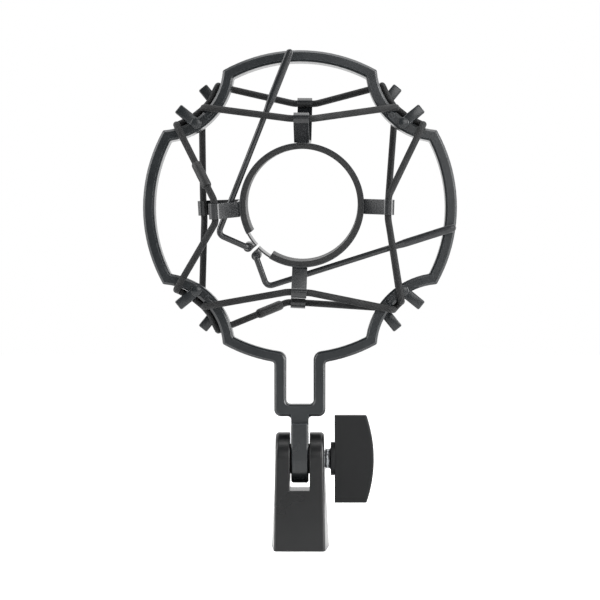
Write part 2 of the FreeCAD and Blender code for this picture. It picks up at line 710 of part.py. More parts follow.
def cord_corners(end, first_ear):
    """Corners and bend radii of one loop, clockwise seen from the front, from an ear's far side."""
    sign = ENDS[end]
    over = sign * (size("ring_depth") / 2 + size("cord_radius") + size("cord_slack"))
    under = sign * (size("ring_depth") / 2 + size("peg_proud") - size("peg_thick")
                    - size("cord_radius") - size("cord_slack"))
    straight = size("strap_width") / 2 + size("hook_bend") * math.tan(math.radians(size("hook_spread")))
    ears = list(EARS)
    start = ears.index(first_ear)
    corners = []
    for ear in ears[start:] + ears[:start]:
        diagonal = round(EARS[ear] / 90) * 90 - 45
        offsets = [size("far_crossing"), size("near_crossing")]
        if (ear in ("left", "right")) != (end == "front"):
            offsets.reverse()
        first, second = [CROSSINGS.get((end, diagonal, number), offset)
                         for number, offset in enumerate(offsets)]
        bend = min(size("peg_bend"),
                   notch_wall(0) * math.radians(first + second) / 2 - size("cord_slack") / 2)
        hook = hook_centre(ear, end)
        for shift in (straight, -straight):
            local = ear_turn(EARS[ear]).multVec(hook + Vector(0, 0, shift))
            corners.append((clip_place.multVec(local), size("hook_bend")))
        corners += [(frame_point(diagonal + first, first, over), size("edge_bend")),
                    (frame_point(diagonal + first, first, under), bend),
                    (frame_point(diagonal - second, second, under), bend),
                    (frame_point(diagonal - second, second, over), size("edge_bend"))]
    return corners


def elastic(end, first_ear, share):
    """One cord: it leaves its splice on the span beyond an ear and comes back to it all round."""
    corners = cord_corners(end, first_ear)
    corners = corners[2:] + corners[:2]
    from_ear, to_frame = corners[-1][0], corners[0][0]
    ahead = (to_frame - from_ear).normalize()
    splice = from_ear + (to_frame - from_ear) * share
    gap = ahead * (size("splice_gap") / 2)
    points = [splice + gap] + [point for point, bend in corners] + [splice - gap]
    wire = route(points, [bend for point, bend in corners])
    cord = tube(wire, size("cord_radius"))
    expected = math.pi * size("cord_radius") ** 2 * wire.Length
    print("elastic_%s: length %.1f mm, volume / expected %.4f" % (end, wire.Length, cord.Volume / expected))
    shaped("elastic_" + end, cord)
    start = splice - ahead * (size("sleeve_length") / 2)
    outside = Part.makeCylinder(size("sleeve_radius"), size("sleeve_length"), start, ahead)
    inside = Part.makeCylinder(size("cord_radius") + size("sleeve_slack"), size("sleeve_length"),
                               start, ahead)
    shaped("sleeve_" + end, outside.cut(inside))


elastic("front", "left", size("front_splice"))
elastic("rear", "bottom", size("rear_splice"))

# checks and export

doc.recompute()
for item in doc.Objects:
    if "Invalid" in item.State or "Error" in item.State:
        raise SystemExit("%s failed: %s" % (item.Name, item.State))
for item in PARTS:
    if item.Shape.isNull() or not item.Shape.isValid() or item.Shape.Volume <= 0:
        raise SystemExit("%s has no sound shape" % item.Label)

os.makedirs("parts", exist_ok=True)
for item in PARTS:
    item.Shape.exportStep("parts/%s.step" % item.Label)
    box = item.Shape.BoundBox
    print("%-16s %d solid %9.1f mm3  x %.1f..%.1f  y %.1f..%.1f  z %.1f..%.1f"
          % (item.Label, len(item.Shape.Solids), item.Shape.Volume,
             box.XMin, box.XMax, box.YMin, box.YMax, box.ZMin, box.ZMax))
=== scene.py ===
import math
import bmesh
import bpy
from mathutils import Matrix, Vector


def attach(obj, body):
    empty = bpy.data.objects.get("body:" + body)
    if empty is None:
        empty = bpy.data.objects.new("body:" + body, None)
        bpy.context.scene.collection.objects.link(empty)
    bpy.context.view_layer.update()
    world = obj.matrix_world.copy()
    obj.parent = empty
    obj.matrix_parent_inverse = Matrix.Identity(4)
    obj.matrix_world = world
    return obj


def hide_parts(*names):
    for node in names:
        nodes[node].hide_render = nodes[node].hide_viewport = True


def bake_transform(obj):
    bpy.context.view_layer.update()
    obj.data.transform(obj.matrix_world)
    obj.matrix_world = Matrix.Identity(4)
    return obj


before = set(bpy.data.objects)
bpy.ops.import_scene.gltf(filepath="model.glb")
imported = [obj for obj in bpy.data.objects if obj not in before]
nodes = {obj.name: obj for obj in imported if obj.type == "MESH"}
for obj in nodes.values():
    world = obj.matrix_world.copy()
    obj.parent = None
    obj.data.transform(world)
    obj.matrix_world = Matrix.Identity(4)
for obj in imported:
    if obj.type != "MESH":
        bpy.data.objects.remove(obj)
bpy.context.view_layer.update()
mm = 0.001
print("frame loaded:", len(nodes), "nodes")

# where the main assemblies sit, in millimetres and degrees
places = {
    "pivotHeight": 32.1,
    "ringRise": 89.1,
    "clipSide": 0.8,
    "clipLift": 1.1,
    "clipTilt": 3.5,
    "splitAngle": 222.95,
    "strapSkew": -1.1,
}
ears = {"left": 183.1, "top": 89.4, "right": 358.3, "bottom": 267.6}
pivot = Vector((0, 0, places["pivotHeight"]))
ringCentre = pivot + Vector((0, 0, places["ringRise"]))
clipPlace = (Matrix.Translation(ringCentre + Vector((places["clipSide"], 0, places["clipLift"])))
             @ Matrix.Rotation(math.radians(places["clipTilt"]), 4, "X"))


meshCare = {  # millimetres and degrees
    "merge": 0.002, "flat": 1.0, "sharp": 28, "smooth": 35, "bevelSteps": 2, "weight": 100,
}


def swing(degrees):
    # turn about the front-to-rear axis that lifts +X towards +Z
    return Matrix.Rotation(-math.radians(degrees), 4, "Y")


def earTurn(ear):
    # from an ear strap's own directions, outward along X, to the clip's
    return swing(ears[ear]) @ Matrix.Rotation(math.radians(places["strapSkew"]), 4, "X")


def deselectAll():
    if bpy.context.object and bpy.context.object.mode != "OBJECT":
        bpy.ops.object.mode_set(mode="OBJECT")
    bpy.ops.object.select_all(action="DESELECT")


def makeActive(piece):
    deselectAll()
    piece.select_set(True)
    bpy.context.view_layer.objects.active = piece


def editMesh(piece):
    # edit mode with the whole mesh selected
    makeActive(piece)
    bpy.ops.object.mode_set(mode="EDIT")
    bpy.ops.mesh.select_all(action="SELECT")


def settled(piece, place=None):
    # moves a piece modelled about the origin in millimetres to its place, and leaves its object unturned
    deselectAll()
    piece.data.transform(Matrix.Scale(mm, 4) @ (place or Matrix.Identity(4)) @ piece.matrix_world)
    piece.matrix_world = Matrix.Identity(4)
    piece.data.update()
    return piece


def applyModifiers(piece):
    makeActive(piece)
    for modifier in list(piece.modifiers):
        bpy.ops.object.modifier_apply(modifier=modifier.name)


def smoothed(piece, degrees=meshCare["smooth"]):
    makeActive(piece)
    bpy.ops.object.shade_smooth_by_angle(angle=math.radians(degrees))


def softened(piece, width, clamp=True):
    # a small rounding on every sharp edge, as a mould or a press leaves
    modifier = piece.modifiers.new("edges", "BEVEL")
    modifier.width = width * mm
    modifier.segments = meshCare["bevelSteps"]
    modifier.limit_method = "ANGLE"
    modifier.angle_limit = math.radians(meshCare["sharp"])
    modifier.use_clamp_overlap = clamp
    applyModifiers(piece)


def fitted(piece, name, body, material, slot, *replaced):
    # names a finished piece, gives it its material, and lets it ride on a body
    piece.name = name
    piece.data.name = name
    piece.data.materials.clear()
    piece.data.materials.append(material)
    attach(piece, body)
    if replaced:
        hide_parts(*replaced)
    return piece


def dressed(node, body, material, slot, edge, carve=None, moved=None, clamp=True):
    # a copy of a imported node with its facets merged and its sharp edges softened
    piece = bpy.data.objects.new(node + "_finished", nodes[node].data.copy())
    bpy.context.collection.objects.link(piece)
    for vertex in piece.data.vertices if moved else ():
        vertex.co = moved(vertex.co / mm) * mm
    editMesh(piece)
    bpy.ops.mesh.remove_doubles(threshold=meshCare["merge"] * mm)
    bpy.ops.mesh.dissolve_limited(angle_limit=math.radians(meshCare["flat"]))
    bpy.ops.object.mode_set(mode="OBJECT")
    if carve:
        hollow = piece.modifiers.new("carve", "BOOLEAN")
        hollow.object, hollow.solver = carve, "EXACT"
        applyModifiers(piece)
        bpy.data.objects.remove(carve)
    softened(piece, edge, clamp)
    smoothed(piece)
    # flat faces keep flat shading and the rounded edges take the turn
    weighted = piece.modifiers.new("shading", "WEIGHTED_NORMAL")
    weighted.keep_sharp = True
    weighted.weight = meshCare["weight"]
    applyModifiers(piece)
    return fitted(piece, node + "_finished", body, material, slot, node)


def turned(profile, steps=48):
    # (distance along X, radius) pairs spun about X, as on a lathe
    mesh = bpy.data.meshes.new("turned")
    mesh.from_pydata([(along, 0, radius) for along, radius in profile],
                     [(i, i + 1) for i in range(len(profile) - 1)], [])
    piece = bpy.data.objects.new("turned", mesh)
    bpy.context.collection.objects.link(piece)
    editMesh(piece)
    bpy.ops.mesh.spin(steps=steps, angle=2 * math.pi, center=(0, 0, 0), axis=(1, 0, 0), use_auto_merge=True)
    bpy.ops.mesh.select_all(action="SELECT")
    bpy.ops.mesh.remove_doubles(threshold=0.001)
    bpy.ops.mesh.normals_make_consistent(inside=False)
    bpy.ops.object.mode_set(mode="OBJECT")
    return piece


def copied(piece):
    twin = piece.copy()
    twin.data = piece.data.copy()
    bpy.context.collection.objects.link(twin)
    return twin


def joinedUp(pieces):
    deselectAll()
    for piece in pieces:
        piece.select_set(True)
    bpy.context.view_layer.objects.active = pieces[0]
    bpy.ops.object.join()
    return bpy.context.view_layer.objects.active


# materials

def linear(hexCode):
    # the scene-linear colour of a display colour
    values = [int(hexCode[i:i + 2], 16) / 255 for i in (0, 2, 4)]
    return [v / 12.92 if v <= 0.04045 else ((v + 0.055) / 1.055) ** 2.4 for v in values] + [1]


def addNode(tree, kind, inputs=None, **settings):
    node = tree.nodes.new("ShaderNode" + kind)
    for name, value in settings.items():
        setattr(node, name, value)
    for name, value in (inputs or {}).items():
        if isinstance(value, bpy.types.NodeSocket):
            tree.links.new(value, node.inputs[name])
        else:
            node.inputs[name].default_value = value
    return node


def maths(tree, operation, *values):
    # the result of one Math node on sockets or numbers
    return addNode(tree, "Math", dict(enumerate(values)), operation=operation).outputs[0]


def newMaterial(name):
    material = bpy.data.materials.new(name)
    material.use_nodes = True
    material.node_tree.nodes.clear()
    return material, material.node_tree


def millimetres(tree):
    # a piece's own place, in millimetres
    place = addNode(tree, "TexCoord")
    return addNode(tree, "VectorMath", {0: place.outputs["Object"], "Scale": 1000.0},
                   operation="SCALE").outputs[0]


def noise(tree, where, grain, detail=3.0, roughness=0.55):
    # grain is the size of one mottle in millimetres
    return addNode(tree, "TexNoise", {"Vector": where, "Scale": 1 / grain, "Detail": detail,
                                      "Roughness": roughness}).outputs["Fac"]


def spread(tree, value, low, high, fromLow=0.3, fromHigh=0.7):
    # carries a value's range over to another; noise stays mostly between the defaults
    return addNode(tree, "MapRange", {"Value": value, "From Min": fromLow, "From Max": fromHigh,
                                      "To Min": low, "To Max": high}).outputs[0]


# settings of the edge mask, which carries both edge wear and a painted highlight along the edges
wearAndHighlightEdges = {"samples": 6, "turnedAway": 0.86, "flat": 0.985, "patch": 2.2, "least": 0.25, "polish": 0.1}


def edgeMask(tree, where, radius):
    # 1 on an edge, 0 on a flat face, broken up by noise; the mask lays both edge wear and a painted highlight
    # along the edges
    flat = addNode(tree, "NewGeometry").outputs["Normal"]
    rounded = addNode(tree, "Bevel", {"Radius": radius * mm}, samples=wearAndHighlightEdges["samples"]).outputs[0]
    facing = addNode(tree, "VectorMath", {0: flat, 1: rounded}, operation="DOT_PRODUCT").outputs["Value"]
    edge = spread(tree, facing, 1, 0, wearAndHighlightEdges["turnedAway"], wearAndHighlightEdges["flat"])
    patches = spread(tree, noise(tree, where, wearAndHighlightEdges["patch"]), wearAndHighlightEdges["least"], 1)
    return maths(tree, "MULTIPLY", edge, patches)


def blendColour(tree, factor, first, second):
    mix = addNode(tree, "Mix", data_type="RGBA")
    colours = [socket for socket in mix.inputs if socket.type == "RGBA"]
    tree.links.new(factor, mix.inputs[0])
    for socket, value in zip(colours, (first, second)):
        if isinstance(value, bpy.types.NodeSocket):
            tree.links.new(value, socket)
        else:
            socket.default_value = value
    return next(socket for socket in mix.outputs if socket.type == "RGBA")


def finish(name, base, tint, edgeWearAndHighlight, rough, grit, depth, mottle=14.0, edge=0.3, edgeWearAndHighlightShare=0.35,
           ior=1.5, specular=0.5, metallic=0.0):
    # a solid finish: slow colour and gloss drift, fine grit, and smoother edges in a lighter colour that is
    # partly wear and partly a painted highlight
    # colours are display codes; mottle, grit, depth and edge are in millimetres
    material, tree = newMaterial(name)
    where = millimetres(tree)
    slow = noise(tree, where, mottle)
    fine = noise(tree, where, grit, 2.0, 0.6)
    body = blendColour(tree, spread(tree, slow, 0, 1), linear(base), linear(tint))
    wornAndHighlitEdges = edgeMask(tree, where, edge)
    # the edges take a lighter colour: partly wear, partly a painted highlight along them
    colour = blendColour(tree, maths(tree, "MULTIPLY", wornAndHighlitEdges, edgeWearAndHighlightShare), body, linear(edgeWearAndHighlight))
    drift = spread(tree, slow, *rough)
    gloss = maths(tree, "SUBTRACT", drift, maths(tree, "MULTIPLY", wornAndHighlitEdges, wearAndHighlightEdges["polish"]))
    bump = addNode(tree, "Bump", {"Height": fine, "Strength": 1.0, "Distance": depth * mm})
    principled = addNode(tree, "BsdfPrincipled", {
        "Base Color": colour, "Roughness": gloss, "Normal": bump.outputs[0],
        "IOR": ior, "Specular IOR Level": specular, "Metallic": metallic})
    addNode(tree, "OutputMaterial", {"Surface": principled.outputs[0]})
    return material


# glass-filled nylon from a spark-eroded cavity: matt black with a fine even grit
mouldedNylon = finish("moulded_nylon", "111213", "161718", "2c2d30", (0.5, 0.6), 0.32, 0.02,
                      ior=1.53, specular=0.22)
# the same nylon from a smoother cavity: satin black, with bright edge lines painted in as a highlight by its
# light edge colour
satinNylon = finish("satin_nylon", "0d0e0f", "121314", "85898c", (0.26, 0.34), 0.4, 0.01,
                    edge=0.35, edgeWearAndHighlightShare=0.5, ior=1.53, specular=0.4)
# acetal-like injection moulding with a finer cavity: satin black, soft broad reflections, and highlight lines
# painted along the edges by its light edge colour
framePlastic = finish("frame_plastic", "1b1e20", "202325", "8c9094", (0.19, 0.27), 0.45, 0.012,
                      edge=0.35, edgeWearAndHighlightShare=0.45, ior=1.49, specular=0.5)
# electro-coated spring steel: thin black film over cold-rolled strip
blackSteel = finish("black_steel", "131517", "181a1c", "85898c", (0.2, 0.28), 0.6, 0.0015, edge=0.2,
                    ior=1.55, specular=0.55)
# powder-coated round wire
leverSteel = finish("lever_steel", "1a1c1e", "212325", "606468", (0.22, 0.32), 0.5, 0.01,
                    ior=1.52, specular=0.5)
# vulcanised rubber strip, matt with a bloom
linerRubber = finish("liner_rubber", "131415", "191a1b", "2a2b2d", (0.4, 0.55), 0.4, 0.02, edgeWearAndHighlightShare=0.2,
                     ior=1.52, specular=0.4)
# heat-shrunk polyolefin over the splice: a little smoother than the cord
sleevePlastic = finish("sleeve_plastic", "101112", "151617", "222324", (0.5, 0.62), 0.7, 0.015, edgeWearAndHighlightShare=0.2,
                       ior=1.5, specular=0.5)
# bright zinc plate over turned steel
zincSteel = finish("plated_steel", "9a9c9e", "8a8c8f", "c4c6c8", (0.22, 0.34), 0.5, 0.006, mottle=5.0,
                   metallic=1.0)
# machined brass, left as turned
turnedBrass = finish("insert_brass", "a98f55", "b89d62", "d8c48c", (0.22, 0.36), 0.4, 0.006, mottle=5.0,
                     metallic=1.0)
# vulcanised fibre washer, dull and slightly fuzzy
fibreWasher = finish("friction_washer", "2a2826", "34312e", "4a4642", (0.7, 0.85), 0.25, 0.02, edgeWearAndHighlightShare=0.2,
                     ior=1.5, specular=0.3)


def braid():
    # braided textile over rubber strands: matt black, two families of yarns crossing at about 45 degrees
    yarn = {"carriers": 8.0, "pitch": 1.25, "relief": 0.09, "fuzz": 0.2, "drift": 6.0}
    material, tree = newMaterial("elastic_cord")
    uv = addNode(tree, "SeparateXYZ", {0: addNode(tree, "UVMap", uv_map="UVMap").outputs[0]})
    around = maths(tree, "MULTIPLY", uv.outputs[0], yarn["carriers"])
    along = maths(tree, "MULTIPLY", uv.outputs[1], 1 / yarn["pitch"])
    waves = []
    for operation in ("ADD", "SUBTRACT"):
        lean = maths(tree, operation, around, along)
        waves.append(maths(tree, "SINE", maths(tree, "MULTIPLY", lean, math.pi)))
    height = maths(tree, "ABSOLUTE", maths(tree, "MULTIPLY", *waves))
    where = millimetres(tree)
    fuzz = noise(tree, where, yarn["fuzz"], 2.0, 0.7)
    raised = maths(tree, "MULTIPLY", height, spread(tree, fuzz, 0.8, 1.2))
    # yarn crests lighter and the grooves between the yarns darker: painted shade in the grooves
    colour = blendColour(tree, raised, linear("0b0c0d"), linear("1a1b1c"))
    bump = addNode(tree, "Bump", {"Height": raised, "Strength": 0.9, "Distance": yarn["relief"] * mm})
    principled = addNode(tree, "BsdfPrincipled", {
        "Base Color": colour, "Roughness": spread(tree, noise(tree, where, yarn["drift"]), 0.6, 0.78),
        "Normal": bump.outputs[0], "IOR": 1.5, "Specular IOR Level": 0.35,
        "Sheen Weight": 0.05, "Sheen Roughness": 0.4})
    addNode(tree, "OutputMaterial", {"Surface": principled.outputs[0]})
    return material


braidedCord = braid()
print("materials made")

# stand adapter

draft = {"share": 0.13, "socket": 8.65, "depth": 10.2, "underside": 1.0}


def drafted(point):
    # the foot is a little narrower in front than behind, and keeps its round socket
    if point.z > draft["underside"] or abs(point.x) < draft["socket"]:
        return point
    forward = (draft["depth"] - point.y) / (2 * draft["depth"])
    return Vector((point.x * (1 - draft["share"] * forward), point.y, point.z))


dressed("stand_adapter", "base", satinNylon, "moulded_nylon", edge=0.32, moved=drafted, clamp=False)
dressed("threaded_insert", "base", turnedBrass, "insert_brass", edge=0.15)
dressed("clamp_nut", "base", zincSteel, "plated_steel", edge=0.2)

thread = {"bore": 7.45, "depth": 0.5, "pitch": 0.9407, "half": 0.42, "sunk": 0.05,
          "from": 0.8, "turns": 12, "steps": 40, "merge": 0.0005}


def insideThread():
    # one ridge of the socket's thread, swept up its helix
    half, root = thread["pitch"] * thread["half"], thread["bore"] + thread["sunk"]
    ridge = [(root, 0, -half), (thread["bore"] - thread["depth"], 0, 0), (root, 0, half)]
    mesh = bpy.data.meshes.new("thread")
    mesh.from_pydata(ridge, [(0, 1), (1, 2), (2, 0)], [])
    piece = bpy.data.objects.new("socket_thread", mesh)
    bpy.context.collection.objects.link(piece)
    modifier = piece.modifiers.new("helix", "SCREW")
    modifier.axis = "Z"
    modifier.steps = modifier.render_steps = thread["steps"]
    modifier.iterations = thread["turns"]
    modifier.screw_offset = thread["pitch"]
    applyModifiers(piece)
    editMesh(piece)
    bpy.ops.mesh.remove_doubles(threshold=thread["merge"])
    bpy.ops.mesh.select_all(action="DESELECT")
    bpy.ops.mesh.select_non_manifold()
    bpy.ops.mesh.fill_holes(sides=4)
    bpy.ops.mesh.select_all(action="SELECT")
    bpy.ops.mesh.normals_make_consistent(inside=False)
    bpy.ops.object.mode_set(mode="OBJECT")
    settled(piece, Matrix.Translation((0, 0, thread["from"])))
    return fitted(piece, "socket_thread", "base", turnedBrass, "insert_brass")


insideThread()
print("stand adapter finished")

# clamp knob

dressed("knob", "knob", mouldedNylon, "moulded_nylon", edge=0.15)
dressed("knob_collar", "knob", mouldedNylon, "moulded_nylon", edge=0.25)
dressed("clamp_screw", "knob", zincSteel, "plated_steel", edge=0.25)

waist = {"start": 9.0, "length": 1.9, "flange": 3.8, "neck": 3.45, "bore": 3.0, "round": 0.15,
         "steps": 12}


def spacer():
    # a turned sleeve with a slight waist and rounded flanges
    start, end, edge = waist["start"], waist["start"] + waist["length"], waist["round"]
    middle = (start + end) / 2
    profile = [(start, waist["bore"]), (start, waist["flange"] - edge)]
    for step in range(waist["steps"] + 1):
        angle = math.pi * step / waist["steps"]
        profile.append((middle - (middle - start - edge) * math.cos(angle),
                        waist["flange"] - (waist["flange"] - waist["neck"]) * math.sin(angle)))
    profile += [(end, waist["flange"] - edge), (end, waist["bore"]), (start, waist["bore"])]
    piece = turned(profile, 64)
    settled(piece, Matrix.Translation(pivot))
    smoothed(piece, 40)
    return fitted(piece, "screw_spacer", "knob", zincSteel, "plated_steel", "knob_spacer")


spacer()
print("clamp knob finished")

# outer frame

for side in ("left", "right"):
    dressed("washer_" + side, "frame", fibreWasher, "friction_washer", edge=0.06)

notch = {"away": 70.3, "radius": 22.5}
pegs = {
    "diagonals": (45, 135, 225, 315), "offset": 6.0, "half": 1.85, "faceY": 6.0, "thick": 3.2,
    "reach": 6.75, "sink": 1.4, "grow": 0.02, "tip": 0.55, "edge": 0.3,
    "cut": 1.1, "cutHalf": 2.3, "cutPast": 0.5, "cutBehind": 0.4,
}
domes = {"radius": 1.95, "rise": 0.5, "sink": 1.6, "wall": 0.4, "quarter": 6}
pads = {"long": 3.9, "wide": 2.1, "proud": 0.38, "round": 0.95, "off": 0.9, "reach": 45.8,
        "faceY": 5.0, "edge": 0.12}
flares = {"half": 3.05, "rise": 15.2, "size": 1.1, "depth": 8.2, "round": 0.97, "hollow": 0.12,
          "sunk": 0.02}


def notchWall(offset, clear=0.0):
    # how far a notch's wall lies from the ring's centre, some degrees off the notch's middle
    angle = math.radians(offset)
    return (notch["away"] * math.cos(angle)
            - math.sqrt((notch["radius"] - clear) ** 2 - (notch["away"] * math.sin(angle)) ** 2))


def block(low, high, rounded=None, radius=0.0, segments=4, profile=0.5):
    # a box in millimetres between two corners; rounded(middle, direction) picks the edges to round
    bpy.ops.mesh.primitive_cube_add(size=1, location=(0, 0, 0))
    piece = bpy.context.object
    low, high = Vector(low), Vector(high)
    piece.data.transform(Matrix.Translation((low + high) / 2) @ Matrix.Diagonal((*(high - low), 1)))
    if rounded:
        for face in piece.data.polygons:
            face.select = False
        for edge in piece.data.edges:
            first, second = [piece.data.vertices[i].co for i in edge.vertices]
            edge.select = rounded((first + second) / 2, (second - first).normalized())
        makeActive(piece)
        bpy.ops.object.mode_set(mode="EDIT")
        bpy.ops.mesh.select_mode(type="EDGE")
        bpy.ops.mesh.bevel(offset=radius, segments=segments, profile=profile)
        bpy.ops.object.mode_set(mode="OBJECT")
    return piece


def atDiagonals(piece, lean, places=(Matrix.Identity(4),)):
    # copies of a piece made along X, near each of the four diagonals, and each turned by every place
    copies = []
    for diagonal in pegs["diagonals"]:
        toSide = 1 if diagonal in (135, 315) else -1
        for side, place in zip((1, -1), places):
            turn = Matrix.Translation(ringCentre) @ swing(diagonal + side * toSide * lean)
            copies.append(settled(copied(piece), turn @ place))
    bpy.data.objects.remove(piece)
    return joinedUp(copies)


def atPegs(piece):
    # a piece made for a front peg along X, copied to all eight pegs
    return atDiagonals(piece, pegs["offset"], (Matrix.Identity(4), Matrix.Rotation(math.pi, 4, "X")))


def pegBars():
    # the pegs' own bars, with rounded tips and edges
    wall, grow, half = notchWall(pegs["offset"]), pegs["grow"], pegs["half"]
    tip = wall + pegs["reach"] + grow
    piece = atPegs(block(
        (wall - pegs["sink"], -pegs["faceY"] - grow, -half),
        (tip, pegs["thick"] - pegs["faceY"] + grow, half),
        lambda middle, direction: middle.x > tip - 0.1 and abs(direction.y) > 0.9, pegs["tip"]))
    softened(piece, pegs["edge"])
    smoothed(piece, 40)
    return fitted(piece, "cord_pegs", "frame", framePlastic, "frame_plastic")


def pegSpace():
    # what is taken out of the frame round each bar
    wall, past, half = notchWall(pegs["offset"]), pegs["cutPast"], pegs["cutHalf"]
    return atPegs(block(
        (wall + pegs["cut"], -pegs["faceY"] - past, -half),
        (wall + pegs["reach"] + past, pegs["thick"] - pegs["faceY"] + pegs["cutBehind"], half)))


def pegDomes():
    # a low dome on each cord peg's round root
    profile = [(-domes["wall"], 0), (-domes["wall"], domes["radius"]), (0, domes["radius"])]
    for step in range(1, domes["quarter"] + 1):
        angle = math.pi / 2 * step / domes["quarter"]
        profile.append((domes["rise"] * math.sin(angle), domes["radius"] * math.cos(angle)))
    dome = turned(profile, 32)
    root = notchWall(pegs["offset"]) - domes["sink"]
    dome.data.transform(Matrix.Translation((root, -pegs["faceY"], 0)) @ Matrix.Rotation(-math.pi / 2, 4, "Z"))
    piece = atPegs(dome)
    smoothed(piece, 50)
    return fitted(piece, "peg_domes", "frame", framePlastic, "frame_plastic")


def facePads():
    # raised pads, rounded all over, on the front of each notch, beside the pegs
    corner = Vector((pads["wide"] / 2, pads["proud"], pads["long"] / 2))
    pad = block(-corner, corner, lambda middle, direction: True, pads["round"], 5)
    pad.data.transform(Matrix.Translation((pads["reach"], -pads["faceY"], 0)))
    piece = atDiagonals(pad, -pads["off"])
    softened(piece, pads["edge"])
    smoothed(piece, 40)
    return fitted(piece, "notch_pads", "frame", framePlastic, "frame_plastic")


def neckFlares():
    # hollow fillets where the neck meets the underside of the yoke
    half, sunk = flares["size"] / 2, flares["sunk"]
    corner = Vector((half, flares["depth"] / 2, half))
    sides = []
    for side in (-1, 1):
        def outer(middle, direction):
            return middle.x * side > 0.1 and middle.z < -0.1 and abs(direction.y) > 0.9

        flare = block(-corner, corner, outer, flares["size"] * flares["round"], 6, flares["hollow"])
        place = Vector((side * (flares["half"] + half - sunk), 0, flares["rise"] - half + sunk))
        sides.append(settled(flare, Matrix.Translation(pivot + place)))
    piece = joinedUp(sides)
    smoothed(piece, 40)
    return fitted(piece, "neck_flares", "frame", framePlastic, "frame_plastic")


dressed("outer_frame", "frame", framePlastic, "frame_plastic", edge=0.16, carve=pegSpace())
pegBars()
pegDomes()
facePads()
neckFlares()
print("outer frame finished")

# spring clip

dressed("clip_band", "clip", blackSteel, "black_steel", edge=0.1)
dressed("clip_liner", "clip", linerRubber, "liner_rubber", edge=0.2)
for ear in ears:
    dressed("strap_" + ear, "clip", blackSteel, "black_steel", edge=0.12)

rivet = {"inner": 21.35, "outer": 22.7, "shank": 0.8, "head": 1.5, "rim": 0.12, "rise": 0.5,
         "sunk": 0.02, "pitch": 4.0, "quarter": 6}


def rivets():
    # domed heads outside, shanks flush with the band inside
    seat, shank = rivet["outer"] - rivet["sunk"], rivet["shank"]
    profile = [(rivet["inner"], 0), (rivet["inner"], shank), (seat, shank), (seat, rivet["head"])]
    for step in range(rivet["quarter"] + 1):
        angle = math.pi / 2 * step / rivet["quarter"]
        profile.append((rivet["outer"] + rivet["rim"] + (rivet["rise"] - rivet["rim"]) * math.sin(angle),
                        rivet["head"] * math.cos(angle)))
    one = turned(profile, 28)
    heads = []
    for ear in ears:
        for shift in (-rivet["pitch"], rivet["pitch"]):
            place = clipPlace @ earTurn(ear) @ Matrix.Translation((0, shift, 0))
            heads.append(settled(copied(one), place))
    bpy.data.objects.remove(one)
    piece = joinedUp(heads)
    smoothed(piece, 45)
    return fitted(piece, "domed_rivets", "clip", blackSteel, "black_steel", "strap_rivets")


rivets()
print("spring clip finished")


# routes and tubes

routing = {"order": 3, "closest": 0.02}


def along(start, end, distance):
    # the point at a distance from start on the way to end
    return start + (end - start).normalized() * distance


def splinePoints(route, resolution=10):
    # the line of a NURBS spline along a route of (point, hold before, hold after)
    # a hold is a further control at that distance, which keeps the run beside it straight
    controls = []
    for index, (point, before, after) in enumerate(route):
        if before:
            controls.append(along(point, route[index - 1][0], before))
        controls.append(point)
        if after:
            controls.append(along(point, route[index + 1][0], after))
    curve = bpy.data.curves.new("route", "CURVE")
    curve.dimensions = "3D"
    spline = curve.splines.new("NURBS")
    spline.points.add(len(controls) - 1)
    for target, point in zip(spline.points, controls):
        target.co = (*point, 1)
    spline.order_u = routing["order"]
    spline.use_endpoint_u = True
    spline.resolution_u = resolution
    holder = bpy.data.objects.new("route", curve)
    bpy.context.collection.objects.link(holder)
    bpy.context.view_layer.update()
    line = bpy.data.meshes.new_from_object(holder)
    points = [vertex.co.copy() for vertex in line.vertices]
    bpy.data.objects.remove(holder)
    bpy.data.meshes.remove(line)
    kept = points[:1]
    for point in points[1:]:
        if (point - kept[-1]).length > routing["closest"]:
            kept.append(point)
    return kept


def tube(name, points, width, sides, normal=None):
    # a closed tube along points in millimetres
    # width(distance) gives its half sizes across and along the normal; U goes round and V along it
    bm = bmesh.new()
    layer = bm.loops.layers.uv.new("UVMap")
    ahead = (points[1] - points[0]).normalized()
    normal = (normal or ahead.orthogonal()).normalized()
    rings, travelled, distances = [], 0.0, []
    for index, point in enumerate(points):
        if index:
            travelled += (point - points[index - 1]).length
        last = points[max(index - 1, 0)]
        following = points[min(index + 1, len(points) - 1)]
        tangent = (following - last).normalized()
        normal = (normal - tangent * normal.dot(tangent)).normalized()
        side = tangent.cross(normal)
        across, through = width(travelled)
        ring = []
        for step in range(sides):
            angle = 2 * math.pi * step / sides
            ring.append(bm.verts.new(point + side * (across * math.cos(angle))
                                     + normal * (through * math.sin(angle))))
        rings.append(ring)
        distances.append(travelled)
    for index in range(len(rings) - 1):
        for step in range(sides):
            corners = [(index, step), (index, step + 1), (index + 1, step + 1), (index + 1, step)]
            face = bm.faces.new([rings[i][s % sides] for i, s in corners])
            for loop, (i, s) in zip(face.loops, corners):
                loop[layer].uv = (s / sides, distances[i])
    for ring, far in ((rings[0], False), (rings[-1], True)):
        face = bm.faces.new(ring if far else list(reversed(ring)))
        for loop in face.loops:
            loop[layer].uv = (0.5, travelled if far else 0.0)
    bmesh.ops.recalc_face_normals(bm, faces=bm.faces)
    mesh = bpy.data.meshes.new(name)
    bm.to_mesh(mesh)
    bm.free()
    piece = bpy.data.objects.new(name, mesh)
    bpy.context.collection.objects.link(piece)
    settled(piece)
    smoothed(piece, 50)
    return piece, travelled


# levers

